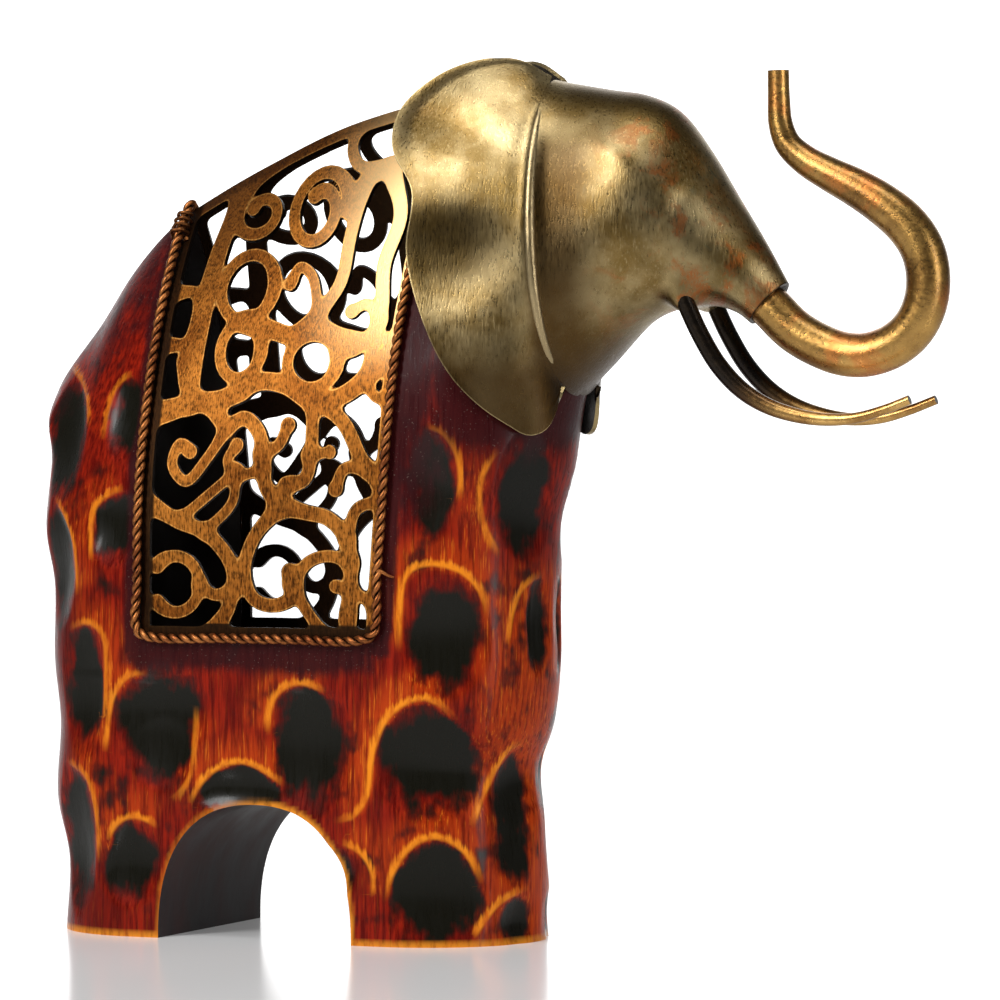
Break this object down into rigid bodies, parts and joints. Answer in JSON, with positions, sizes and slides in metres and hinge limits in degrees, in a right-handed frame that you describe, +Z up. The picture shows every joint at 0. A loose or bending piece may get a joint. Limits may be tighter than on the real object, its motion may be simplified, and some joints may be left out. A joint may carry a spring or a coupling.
{
  "type": "wrought iron elephant sculpture",
  "caption": "Standing sheet-metal elephant in red lacquer, with an openwork copper saddle edged in twisted wire, a brass head with wide ears, raised trunk and slim tusks.",
  "frame": {"origin": "middle of the figure's length and width, on the surface that the feet stand on", "axes": "+X forward, the way the elephant faces; +Y to the elephant's left; +Z up"},
  "size_m": [0.2918, 0.079, 0.2646],
  "materials": {
    "red_lacquer": "gloss",
    "antique_copper": "satin",
    "copper_rope": "satin",
    "antique_brass": "satin",
    "bronze_gold": "satin"
  },
  "bodies": {
    "root": {"body_shell": "red_lacquer", "saddle_lattice": "antique_copper", "saddle_rope": "copper_rope", "head": "antique_brass", "trunk": "bronze_gold", "tusk_right": "bronze_gold", "tusk_left": "bronze_gold"}
  },
  "joints": []
}
